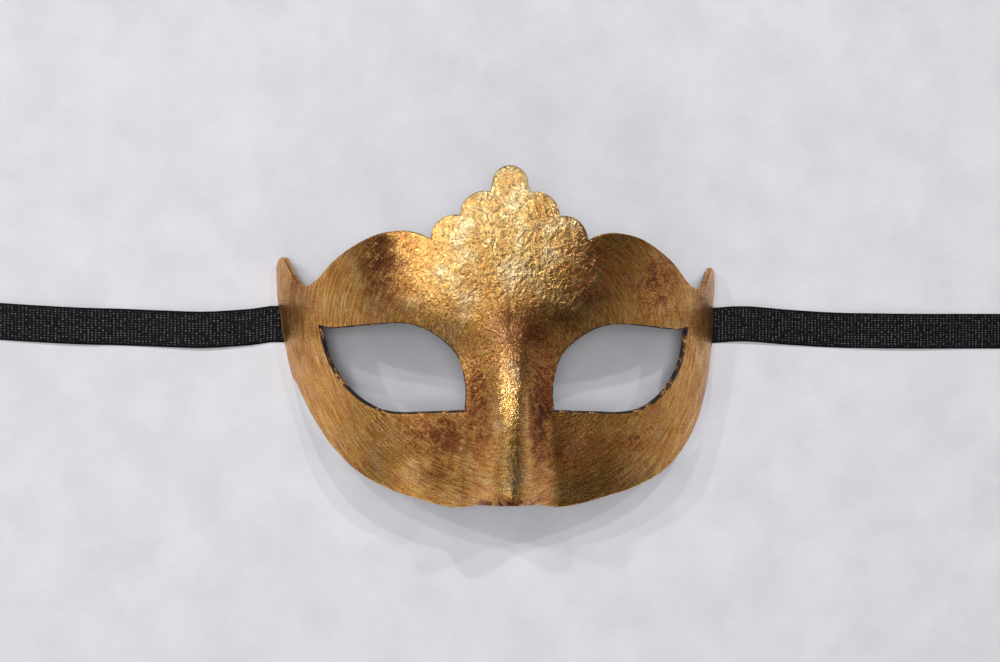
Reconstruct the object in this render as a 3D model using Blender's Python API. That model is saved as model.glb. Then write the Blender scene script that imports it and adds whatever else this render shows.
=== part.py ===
"""Venetian half mask: a gilded papier-mache shell with a black lining and two ribbon ties.

The mask lies on its back, face up: seen from the front, +X runs to the right-hand ear,
+Y runs up to the crown and +Z comes out of the face. z = 0 is the surface that the ears
stand on. Every bent piece is drawn as a flat pattern (u across, v upwards, w outwards)
and wrapped onto the face, so that its cut edges stay square to the surface.
"""
import math

import bmesh
import bpy
import numpy as np
from mathutils import Vector

MM = 0.001

# Face shape.
HALF_WIDTH = 93.5 * MM        # of the wrap at the brow
WRAP_DEPTH = 60 * MM          # of the half ellipse that the brow follows
EDGE_HEIGHT = 10 * MM         # how far short of the half ellipse the ears stop
BROW_LEVEL = 18 * MM          # v of the most forward line of the face
FACE_TILT = 0.06              # how much the face rises towards the crown
CROWN_LEAN = 2.2              # 1/m, how fast the forehead falls back above the brow
CHEEK_LEAN = 2.0              # 1/m, how fast the cheeks fall back below it
EAR_LEVEL = 30 * MM           # v above which the sides stay parallel
LEFT_NARROWING = 11.0 * MM    # taken off the half width over one narrowing span
RIGHT_NARROWING = 3.5 * MM    # the hand-moulded shell is a little fuller on this side
NARROWING_SPAN = 55 * MM
NARROWING_EASE = 0.25

# Nose.
NOSE_RISES = (                # v where a rise starts, v where it ends, height
    (20 * MM, -50 * MM, 13.0 * MM),
    (-13 * MM, -33 * MM, 3.6 * MM),
)
BRIDGE_HALF_WIDTH = 9 * MM
NOSTRIL_HALF_WIDTH = 15 * MM
FLARE_TOP = -4 * MM
FLARE_END = -66 * MM
NOSE_CREST = 2.8              # power of the cross-section: 2 is a bell, more is blunter

# Soft swells of the face: u, v, spread along u, spread along v, height.
SWELLS = (
    (48 * MM, 15 * MM, 24 * MM, 12 * MM, 1.2 * MM),    # brow
    (42 * MM, -45 * MM, 22 * MM, 12 * MM, 2.0 * MM),   # cheek
    (22 * MM, -8 * MM, 9 * MM, 12 * MM, -1.5 * MM),    # inner corner of the eye
    (0 * MM, -64 * MM, 7 * MM, 5 * MM, 2.4 * MM),      # lip of the nose's lower edge
)

# Layers, from the outside in.
SHELL_THICKNESS = 2.4 * MM
LINING_GAP = 0.4 * MM
LINING_THICKNESS = 0.5 * MM
FIT_GAP = 0.3 * MM
GLUE_THICKNESS = 0.4 * MM
RIBBON_THICKNESS = 0.5 * MM
PATCH_THICKNESS = 0.6 * MM

# Flat pattern of the shell, right half: the crown's lobes, then the smooth runs. It is drawn
# for an ear that meets the surface at DRAWN_EAR, and stretched sideways to where it does.
DRAWN_EAR = 112.0 * MM
FINIAL_RADIUS = 7.1 * MM
FINIAL_TOP = 66.7 * MM
LOBE_NOTCHES = ((8.0 * MM, 56.4 * MM), (19.6 * MM, 47.2 * MM), (31.1 * MM, 38.0 * MM))
LOBE_BULGE = 0.23             # height of a lobe's arc over its chord
BROW_RUN = (
    (31.1, 38.0), (37.0, 40.4), (44.2, 41.1), (54.0, 39.4), (63.9, 34.9),
    (72.4, 29.5), (79.5, 23.4), (86.9, 20.0),
)
LEFT_HORN = ((93.5, 23.1), (99.5, 29.2), (103.0, 32.0), (108.0, 31.4))
RIGHT_HORN = ((94.0, 21.8), (100.5, 26.8), (104.0, 29.2), (108.0, 28.4))
EAR_REACH = 115.0             # past DRAWN_EAR, so that the surface trims the ear
EAR_TOP = 27.0
EAR_FOOT = -12.0
CHEEK_RUN = (
    (EAR_REACH, EAR_TOP), (EAR_REACH, EAR_FOOT), (107.0, -20.0), (101.5, -28.5),
    (94.0, -38.6), (86.0, -46.6), (75.0, -54.5), (60.0, -60.6), (45.0, -64.5), (30.0, -67.7), (22.0, -68.1),
    (12.0, -66.0), (0.0, -65.4),
)
EYE_RUN = (
    (81.4, 4.1), (76.0, 3.2), (70.7, 3.3), (55.0, 4.6), (43.3, 5.1), (36.0, 3.6),
    (30.0, 0.7), (24.5, -3.6), (20.6, -9.1), (18.4, -18.9), (19.0, -28.8),
)
EYE_LOWER_RUN = (
    (19.0, -28.8), (28.0, -29.2), (37.6, -29.5), (47.0, -29.9), (56.0, -29.2), (62.5, -27.0),
    (69.2, -22.9), (74.5, -17.6), (78.8, -10.9), (80.6, -4.0), (81.4, 4.1),
)
RUN_STEPS = 3                 # straight pieces between two points of a run
LOBE_STEPS = 6
FINIAL_STEPS = 6
LINING_INSET = 1.6 * MM
LINING_EAR_INSET = 4.0 * MM

# Ribbon ties. Routes run from the ear outwards: x past the ear, y off the level, height.
RIBBON_WIDTH = 15 * MM
RIBBON_LENGTH = 450 * MM
RIBBON_LEVEL = 4.9 * MM       # v of its middle line
TAIL_LENGTH = 18 * MM         # glued inside the ear
TAIL_RISE = 8.0 * MM          # up the wall from the surface to where the tail leaves it
RELIEF_SIDE = 1.0 * MM        # slack beside the ribbon where it passes under the ear
RELIEF_HEIGHT = RIBBON_THICKNESS + 2 * FIT_GAP
BEND = ((0.4, 1.9), (1.4, 0.9))   # past the tail's foot and height, where the ribbon turns out
BEND_END = 3.0 * MM           # past the tail's foot, where it lies flat
LEFT_ROUTE = (
    (1.8, 0.0, 0.4), (11.8, -1.4, 0.9), (28.8, -2.5, 1.6), (45.8, -2.1, 0.7),
    (62.8, -1.5, 0.4), (79.8, -1.1, 1.2), (97.8, -0.2, 0.9), (115.8, 0.8, 0.4), (133.8, 1.0, 0.3),
)
RIGHT_ROUTE = (
    (1.8, 0.4, 0.4), (8.8, 0.9, 1.2), (16.8, 0.8, 1.6), (31.8, -0.4, 0.8), (51.8, -1.5, 0.4),
    (69.8, -1.8, 1.1), (87.8, -1.9, 1.3), (107.8, -1.8, 0.6), (133.8, -1.7, 0.3),
)
ROLL_CORE = 2.5 * MM
ROLL_AIR = 0.12 * MM          # between two turns
ROLL_SIDES = 28

PAD_RISE = 2.0 * MM           # up the wall from the tail's foot to the pads
GLUE_LENGTH = 11 * MM
GLUE_WIDTH = RIBBON_WIDTH - 5 * MM
PATCH_LENGTH = 14 * MM
PATCH_WIDTH = RIBBON_WIDTH + 9 * MM

# Mesh spacing.
COARSE_CELL = 5.5 * MM
FINE_CELL = 2.75 * MM
FINE_HALF_WIDTH = 22 * MM
TAIL_ROWS = 6
RIBBON_COLUMNS = 5
TABLE_SAMPLES = 721
NORMAL_STEP = 0.05 * MM       # either side of a point, to measure the surface's slope
CUT_MARGIN = 5 * MM           # that cutters reach past what they cut
WELD_REACH = 0.02 * MM        # under which two corners of a cut sheet are one
SHEET_MARGIN = 2 * MM
SHARP_ANGLE = math.radians(40)


def ellipse_table():
    """Angle against arc length along a quarter of the brow's ellipse."""
    angle = np.linspace(0, math.pi / 2, TABLE_SAMPLES)
    across = np.diff(HALF_WIDTH * np.sin(angle))
    down = np.diff(WRAP_DEPTH * np.cos(angle))
    length = np.concatenate([[0.0], np.cumsum(np.hypot(across, down))])
    return length, angle


ARC_LENGTH, ARC_ANGLE = ellipse_table()
EAR_ANGLE = math.acos(EDGE_HEIGHT / WRAP_DEPTH)
EAR_X = HALF_WIDTH * math.sin(EAR_ANGLE)
EAR_U = float(np.interp(EAR_ANGLE, ARC_ANGLE, ARC_LENGTH))
TAIL_FOOT = EAR_U - TAIL_RISE


def ease(start, end, value):
    """0 before start, 1 after end, and a smooth rise between."""
    share = np.clip((value - start) / (end - start), 0, 1)
    return share * share * (3 - 2 * share)


def face_point(u, v):
    """Place on the outer surface of the pattern's point u, v."""
    quarter = ARC_LENGTH[-1]
    past = np.maximum(np.abs(u) - quarter, 0) / WRAP_DEPTH
    angle = np.sign(u) * (np.interp(np.abs(u), ARC_LENGTH, ARC_ANGLE) + past)
    below_ear = np.maximum(EAR_LEVEL - v, 0) / NARROWING_SPAN
    side_narrowing = np.where(u < 0, LEFT_NARROWING, RIGHT_NARROWING)
    narrowing = side_narrowing * below_ear ** 2 / (1 + NARROWING_EASE * below_ear ** 2)
    x = (HALF_WIDTH - narrowing) * np.sin(angle)
    lean = np.where(v > BROW_LEVEL, CROWN_LEAN, CHEEK_LEAN)
    above = v - BROW_LEVEL
    z = (WRAP_DEPTH + FACE_TILT * above - lean * above ** 2) * np.cos(angle) - EDGE_HEIGHT
    nose_width = BRIDGE_HALF_WIDTH
    nose_width = nose_width + (NOSTRIL_HALF_WIDTH - BRIDGE_HALF_WIDTH) * ease(FLARE_TOP, FLARE_END, v)
    crest = np.exp(-np.abs(u / nose_width) ** NOSE_CREST)
    for start, end, height in NOSE_RISES:
        z = z + height * ease(start, end, v) * crest
    for at_u, at_v, spread_u, spread_v, height in SWELLS:
        reach = ((np.abs(u) - at_u) / spread_u) ** 2 + ((v - at_v) / spread_v) ** 2
        z = z + height * np.exp(-reach)
    return np.stack([x, v + 0 * x, z], axis=-1)


def wrap(points):
    """Carry pattern points (u, v, w) onto the face, w along the surface's normal."""
    u, v, w = points[:, 0], points[:, 1], points[:, 2]
    along_u = face_point(u + NORMAL_STEP, v) - face_point(u - NORMAL_STEP, v)
    along_v = face_point(u, v + NORMAL_STEP) - face_point(u, v - NORMAL_STEP)
    normal = np.cross(along_u, along_v)
    normal /= np.linalg.norm(normal, axis=1, keepdims=True)
    return face_point(u, v) + normal * w[:, None]


def smooth_run(points, scale=MM):
    """Points of a smooth curve through a list, without its last one."""
    knots = [Vector(point) * scale for point in points]
    knots = [2 * knots[0] - knots[1]] + knots + [2 * knots[-1] - knots[-2]]
    run = []
    for before, start, end, after in zip(knots, knots[1:], knots[2:], knots[3:]):
        for step in range(RUN_STEPS):
            t = step / RUN_STEPS
            run.append(0.5 * (2 * start + (end - before) * t
                              + (2 * before - 5 * start + 4 * end - after) * t ** 2
                              + (3 * start - before - 3 * end + after) * t ** 3))
    return run


def lobe(start, end):
    """Points of a round lobe that bulges to the left of start to end, without its end."""
    start = Vector(start)
    end = Vector(end)
    chord = (end - start).length
    rise = LOBE_BULGE * chord
    radius = (rise ** 2 + (chord / 2) ** 2) / (2 * rise)
    side = Vector((start.y - end.y, end.x - start.x)) / chord
    middle = (start + end) / 2 + side * (rise - radius)
    first = math.atan2(start.y - middle.y, start.x - middle.x)
    last = math.atan2(end.y - middle.y, end.x - middle.x)
    sweep = (last - first) % math.tau - math.tau
    angles = [first + sweep * step / LOBE_STEPS for step in range(LOBE_STEPS)]
    return [middle + radius * Vector((math.cos(angle), math.sin(angle))) for angle in angles]


def finial():
    """Right half of the round finial, from its top to the first notch."""
    centre = FINIAL_TOP - FINIAL_RADIUS
    angles = [math.pi / 2 * step / FINIAL_STEPS for step in range(FINIAL_STEPS + 1)]
    return [Vector((FINIAL_RADIUS * math.sin(a), centre + FINIAL_RADIUS * math.cos(a)))
            for a in angles]


def half_outline(horn):
    """Right half of the shell's outline, clockwise from the top of the finial."""
    half = finial()
    for start, end in zip(LOBE_NOTCHES, LOBE_NOTCHES[1:]):
        half += lobe(start, end)
    half += smooth_run(BROW_RUN + horn + ((EAR_REACH, EAR_TOP),))
    half += smooth_run(CHEEK_RUN)
    half.append(Vector(CHEEK_RUN[-1]) * MM)
    return half


def stretched(points, side):
    """Drawn points of a right half, stretched to the ear and put on one side."""
    return [Vector((side * point.x * EAR_U / DRAWN_EAR, point.y)) for point in points]


def shell_outline():
    """Outline of the shell's flat pattern, clockwise from the top of the finial."""
    left = half_outline(LEFT_HORN)
    return stretched(half_outline(RIGHT_HORN), 1) + stretched(reversed(left[1:-1]), -1)


def eye_outline(side):
    """Outline of one eye hole of the flat pattern."""
    return stretched(smooth_run(EYE_RUN) + smooth_run(EYE_LOWER_RUN), side)


def inset_outline(points, distance):
    """Move every point of an outline inwards, or outwards where distance is negative."""
    area = sum(a.x * b.y - b.x * a.y for a, b in zip(points, points[1:] + points[:1]))
    turn = math.copysign(1, area)
    moved = []
    for before, here, after in zip(points[-1:] + points[:-1], points, points[1:] + points[:1]):
        entering = (here - before).normalized()
        leaving = (after - here).normalized()
        tangent = (entering + leaving).normalized()
        moved.append(here + turn * distance * Vector((-tangent.y, tangent.x)))
    return moved


def add_object(name, mesh, material):
    """Link a mesh to the scene as a named piece."""
    mesh.name = name
    mesh.materials.clear()
    mesh.materials.append(material)
    piece = bpy.data.objects.new(name, mesh)
    bpy.context.collection.objects.link(piece)
    return piece


def add_material(name, colour, roughness, metallic=0.0):
    """A plain finish."""
    material = bpy.data.materials.new(name)
    material.use_nodes = True
    shader = material.node_tree.nodes["Principled BSDF"]
    shader.inputs["Base Color"].default_value = (*colour, 1.0)
    shader.inputs["Roughness"].default_value = roughness
    shader.inputs["Metallic"].default_value = metallic
    return material


def add_cutter(name, mesh):
    """A shape that only cuts others."""
    cutter = bpy.data.objects.new(name, mesh)
    bpy.context.collection.objects.link(cutter)
    cutter.hide_render = True
    cutter.display_type = "WIRE"
    return cutter


def prism(name, outline, low, high):
    """An outline in the pattern's plane, drawn out from w = low to w = high."""
    shape = bmesh.new()
    corners = [shape.verts.new((point.x, point.y, low)) for point in outline]
    base = shape.faces.new(corners)
    drawn = bmesh.ops.extrude_face_region(shape, geom=[base])
    risen = [item for item in drawn["geom"] if isinstance(item, bmesh.types.BMVert)]
    bmesh.ops.translate(shape, vec=(0, 0, high - low), verts=risen)
    bmesh.ops.recalc_face_normals(shape, faces=shape.faces)
    mesh = bpy.data.meshes.new(name)
    shape.to_mesh(mesh)
    shape.free()
    return mesh


def grid_lines(low, high):
    """Places of the pattern's grid lines across: fine over the nose, coarse elsewhere."""
    fine = int(FINE_HALF_WIDTH / FINE_CELL)
    lines = [FINE_CELL * index for index in range(fine + 1)]
    while lines[-1] < max(-low, high):
        lines.append(lines[-1] + COARSE_CELL)
    lines = [-line for line in reversed(lines[1:])] + lines
    return [line for line in lines if low < line < high]


def slab(low, high, thickness_low, thickness_high):
    """A flat sheet, scored along the grid that it will bend on."""
    shape = bmesh.new()
    bmesh.ops.create_cube(shape, size=1.0)
    size = (high[0] - low[0], high[1] - low[1], thickness_high - thickness_low)
    middle = ((high[0] + low[0]) / 2, (high[1] + low[1]) / 2, (thickness_high + thickness_low) / 2)
    bmesh.ops.scale(shape, vec=size, verts=shape.verts)
    bmesh.ops.translate(shape, vec=middle, verts=shape.verts)
    rows = np.arange(math.ceil(low[1] / COARSE_CELL), math.floor(high[1] / COARSE_CELL) + 1)
    cuts = [((line, 0, 0), (1, 0, 0)) for line in grid_lines(low[0], high[0])]
    cuts += [((0, row * COARSE_CELL, 0), (0, 1, 0)) for row in rows]
    for place, across in cuts:
        everything = shape.verts[:] + shape.edges[:] + shape.faces[:]
        bmesh.ops.bisect_plane(shape, geom=everything, plane_co=place, plane_no=across)
    mesh = bpy.data.meshes.new("slab")
    shape.to_mesh(mesh)
    shape.free()
    return mesh


def cut_pattern(sheet, keep, holes):
    """The part of a flat sheet inside one prism and outside the others, as a mesh."""
    piece = bpy.data.objects.new("pattern", sheet)
    bpy.context.collection.objects.link(piece)
    cutters = [add_cutter("keep", keep)] + [add_cutter("hole", hole) for hole in holes]
    for index, cutter in enumerate(cutters):
        cut = piece.modifiers.new("cut", "BOOLEAN")
        cut.operation = "DIFFERENCE" if index else "INTERSECT"
        cut.object = cutter
    weld = piece.modifiers.new("weld", "WELD")
    weld.merge_threshold = WELD_REACH
    ready = piece.evaluated_get(bpy.context.evaluated_depsgraph_get())
    mesh = bpy.data.meshes.new_from_object(ready)
    for helper in [piece] + cutters:
        bpy.data.objects.remove(helper)
    return mesh


def wrap_mesh(mesh):
    """Bend a flat pattern's mesh onto the face."""
    flat = np.empty(len(mesh.vertices) * 3)
    mesh.vertices.foreach_get("co", flat)
    mesh.vertices.foreach_set("co", wrap(flat.reshape(-1, 3)).ravel())
    mesh.update()


def box_cutter(name, low, high):
    """A block that cuts, from its lowest to its highest corner."""
    shape = bmesh.new()
    bmesh.ops.create_cube(shape, size=1.0)
    bmesh.ops.scale(shape, vec=[b - a for a, b in zip(low, high)], verts=shape.verts)
    bmesh.ops.translate(shape, vec=[(a + b) / 2 for a, b in zip(low, high)], verts=shape.verts)
    mesh = bpy.data.meshes.new(name)
    shape.to_mesh(mesh)
    shape.free()
    return add_cutter(name, mesh)


def cut_away(piece, cutter):
    """Take a cutter's shape off a piece."""
    cut = piece.modifiers.new(cutter.name, "BOOLEAN")
    cut.operation = "DIFFERENCE"
    cut.object = cutter


def pattern_span(outline, margin):
    """Lowest and highest corner of an outline, with a margin all round."""
    low = (min(p.x for p in outline) - margin, min(p.y for p in outline) - margin)
    high = (max(p.x for p in outline) + margin, max(p.y for p in outline) + margin)
    return low, high


def wrapped_sheet(outline, holes, outer, inner):
    """A sheet between two depths under the face's outer surface, cut to an outline."""
    low, high = pattern_span(outline, SHEET_MARGIN)
    floor = -inner - CUT_MARGIN
    roof = -outer + CUT_MARGIN
    keep = prism("keep", outline, floor, roof)
    cuts = [prism("hole", hole, floor, roof) for hole in holes]
    mesh = cut_pattern(slab(low, high, -inner, -outer), keep, cuts)
    wrap_mesh(mesh)
    return mesh


def build_shell(material):
    """The moulded shell, its ears trimmed flat and relieved where the ribbons pass."""
    eyes = [eye_outline(side) for side in (1, -1)]
    mesh = wrapped_sheet(shell_outline(), eyes, 0.0, SHELL_THICKNESS)
    shell = add_object("mask_shell", mesh, material)
    reach = 2 * HALF_WIDTH
    cut_away(shell, box_cutter("surface_trim", (-reach, -reach, -reach), (reach, reach, 0)))
    half = RIBBON_WIDTH / 2 + RELIEF_SIDE
    low = (-reach, RIBBON_LEVEL - half, -reach)
    high = (reach, RIBBON_LEVEL + half, RELIEF_HEIGHT)
    cut_away(shell, box_cutter("ribbon_relief", low, high))
    return shell


def build_lining(material):
    """The black lining, a little smaller than the shell all round."""
    eyes = [inset_outline(eye_outline(side), -LINING_INSET) for side in (1, -1)]
    outer = SHELL_THICKNESS + LINING_GAP
    outline = inset_outline(shell_outline(), LINING_INSET)
    mesh = wrapped_sheet(outline, eyes, outer, outer + LINING_THICKNESS)
    lining = add_object("inner_lining", mesh, material)
    reach = 2 * HALF_WIDTH
    trim = box_cutter("lining_trim", (-reach, -reach, -reach), (reach, reach, LINING_EAR_INSET))
    cut_away(lining, trim)
    return lining


def lining_depth():
    """Depth of the lining's inner face under the shell's outer surface."""
    return SHELL_THICKNESS + LINING_GAP + LINING_THICKNESS


def glue_depth():
    """Depth of the glue pad's inner face."""
    return lining_depth() + FIT_GAP + GLUE_THICKNESS


def ribbon_depth():
    """Depth of the ribbon's middle surface inside the ear."""
    return glue_depth() + FIT_GAP + RIBBON_THICKNESS / 2


def wrapped_pad(name, side, length, width, foot, outer, thickness, material):
    """A rectangular pad on the inside of an ear, its lower end at u = foot."""
    half = width / 2
    ends = (side * (foot - length), side * foot)
    low = (min(ends), RIBBON_LEVEL - half)
    high = (max(ends), RIBBON_LEVEL + half)
    mesh = slab(low, high, -outer - thickness, -outer)
    wrap_mesh(mesh)
    return add_object(name, mesh, material)


def ribbon_stations(side, route):
    """Rows of the ribbon's middle surface, from its glued end to the end of its route."""
    columns = np.linspace(-RIBBON_WIDTH / 2, RIBBON_WIDTH / 2, RIBBON_COLUMNS)
    rows = []
    for u in np.linspace(TAIL_FOOT - TAIL_LENGTH, TAIL_FOOT, TAIL_ROWS):
        flat = [(side * u, RIBBON_LEVEL + across, -ribbon_depth()) for across in columns]
        rows.append([Vector(point) for point in wrap(np.array(flat))])
    foot_x = abs(rows[-1][RIBBON_COLUMNS // 2].x)
    lie = (RIBBON_THICKNESS + FIT_GAP) / 2
    stations = [(foot_x + x * MM, 0.0, z * MM) for x, z in BEND]
    stations.append((foot_x + BEND_END, 0.0, lie))
    for point in smooth_run(route) + [Vector(route[-1]) * MM]:
        stations.append((EAR_X + point.x, point.y, max(point.z, lie)))
    for x, y, z in stations:
        rows.append([Vector((side * x, RIBBON_LEVEL + y + across, z)) for across in columns])
    return rows


def strip_length(rows):
    """Length of a strip along its middle line."""
    middle = [row[len(row) // 2] for row in rows]
    return sum((b - a).length for a, b in zip(middle, middle[1:]))


def build_ribbon(name, rows, material):
    """The ribbon's stretch that isn't rolled up, as a thin closed strip."""
    shape = bmesh.new()
    verts = [[shape.verts.new(point) for point in row] for row in rows]
    for row, following in zip(verts, verts[1:]):
        for a, b, c, d in zip(row, row[1:], following[1:], following):
            shape.faces.new((a, b, c, d))
    bmesh.ops.recalc_face_normals(shape, faces=shape.faces)
    mesh = bpy.data.meshes.new(name)
    shape.to_mesh(mesh)
    shape.free()
    ribbon = add_object(name, mesh, material)
    thicken = ribbon.modifiers.new("thickness", "SOLIDIFY")
    thicken.thickness = RIBBON_THICKNESS
    thicken.offset = 0.0
    return ribbon


def build_roll(name, side, rows, material):
    """The outer shape of the ribbon's rolled end, which stands on the surface."""
    rolled = RIBBON_LENGTH - strip_length(rows)
    pitch = RIBBON_THICKNESS + ROLL_AIR
    radius = math.sqrt(ROLL_CORE ** 2 + rolled * pitch / math.pi)
    top = RIBBON_THICKNESS + 2 * FIT_GAP
    last = rows[-1][len(rows[-1]) // 2]
    reach = math.sqrt(2 * radius * top)
    shape = bmesh.new()
    bmesh.ops.create_cone(shape, cap_ends=True, segments=ROLL_SIDES, radius1=radius,
                          radius2=radius, depth=RIBBON_WIDTH)
    mesh = bpy.data.meshes.new(name)
    shape.to_mesh(mesh)
    shape.free()
    mesh.shade_smooth()
    mesh.set_sharp_from_angle(angle=SHARP_ANGLE)
    roll = add_object(name, mesh, material)
    roll.rotation_euler = (math.pi / 2, 0, 0)
    roll.location = (last.x + side * reach, last.y, radius)
    return roll


def main():
    """Build the mask."""
    for old in list(bpy.data.objects):
        bpy.data.objects.remove(old)
    gold = add_material("gold_leaf", (0.60, 0.36, 0.10), 0.35, 1.0)
    black_cloth = add_material("lining_cloth", (0.012, 0.012, 0.013), 0.9)
    black_ribbon = add_material("woven_ribbon", (0.008, 0.008, 0.010), 0.7)
    glue = add_material("hot_glue", (0.55, 0.50, 0.38), 0.4)
    build_shell(gold)
    build_lining(black_cloth)
    for hand, side, route in (("left", -1, LEFT_ROUTE), ("right", 1, RIGHT_ROUTE)):
        foot = TAIL_FOOT - PAD_RISE
        wrapped_pad(f"{hand}_glue_pad", side, GLUE_LENGTH, GLUE_WIDTH, foot,
                    lining_depth() + FIT_GAP, GLUE_THICKNESS, glue)
        patch_outer = ribbon_depth() + RIBBON_THICKNESS / 2 + FIT_GAP
        wrapped_pad(f"{hand}_patch", side, PATCH_LENGTH, PATCH_WIDTH, foot,
                    patch_outer, PATCH_THICKNESS, black_cloth)
        rows = ribbon_stations(side, route)
        build_ribbon(f"{hand}_ribbon", rows, black_ribbon)
        build_roll(f"{hand}_ribbon_roll", side, rows, black_ribbon)


main()
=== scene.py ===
"""Looks of the gilded half mask: fine shell, lining, ribbon ties, finishes, camera and light.

Every bent piece is drawn as a flat pattern (u across, v upwards, w outwards) and wrapped
onto the same face as the frame's solids. Lengths are in metres.
"""

import logging
import math
from dataclasses import dataclass, field
from enum import Enum
from typing import Iterable, Optional, Sequence

import bmesh
import bpy
import numpy as np
from mathutils import Matrix, Vector, kdtree, noise


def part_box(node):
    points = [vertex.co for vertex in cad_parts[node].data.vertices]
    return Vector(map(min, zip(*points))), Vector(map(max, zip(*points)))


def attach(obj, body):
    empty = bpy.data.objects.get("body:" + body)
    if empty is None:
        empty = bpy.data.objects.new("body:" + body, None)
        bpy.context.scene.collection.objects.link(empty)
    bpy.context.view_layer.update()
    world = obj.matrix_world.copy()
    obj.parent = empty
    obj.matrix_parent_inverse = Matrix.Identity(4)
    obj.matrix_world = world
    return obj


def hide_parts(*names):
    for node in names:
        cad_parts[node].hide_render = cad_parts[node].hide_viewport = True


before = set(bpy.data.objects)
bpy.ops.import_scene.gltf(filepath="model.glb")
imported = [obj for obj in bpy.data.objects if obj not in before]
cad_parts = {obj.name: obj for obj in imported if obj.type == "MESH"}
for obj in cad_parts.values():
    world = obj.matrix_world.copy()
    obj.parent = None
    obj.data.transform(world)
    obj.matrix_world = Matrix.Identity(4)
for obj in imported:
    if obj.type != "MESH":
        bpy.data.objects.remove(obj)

MM = 0.001
BODY = "root"
TINY = 1e-7                    # metres under which two places are one
LEVEL = 0.9999                 # a normal's z over which a face is level
UV_UNIT = 0.25                 # metres of pattern across one whole UV tile
WAVE_RATE = 0.314              # scale of a wave texture whose bands repeat once a metre

# What each corner of the shell says of its leaf: how crinkled, rubbed through, brown, darkened
# by some dark wax and by painted dark reflections, and near a rim it is
LEAF_ATTRIBUTES = ("foil", "worn", "aged", "toned", "rim")

Socket = bpy.types.NodeSocket

log = logging.getLogger("mask")


class Side(Enum):
    """The two sides of the mask, as the viewer sees them."""

    LEFT = -1
    RIGHT = 1

    @property
    def hand(self) -> str:
        """Prefix of the side's node names."""
        return self.name.lower()


class Zone(Enum):
    """Material zones of the shell, in slot order."""

    GILDED = 0
    CUT_EDGE = 1
    INSIDE = 2


# ---------------------------------------------------------------------------
# Node and mesh helpers
# ---------------------------------------------------------------------------


def tone(code: str) -> tuple[float, float, float, float]:
    """Turn an sRGB hex code into a linear colour.

    Args:
        code: Six hex digits, such as "d8a24a".

    Returns:
        Linear red, green, blue and a full alpha.
    """
    parts = [int(code[i:i + 2], 16) / 255 for i in (0, 2, 4)]
    linear = [p / 12.92 if p <= 0.04045 else ((p + 0.055) / 1.055) ** 2.4 for p in parts]
    return (*linear, 1.0)


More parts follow.
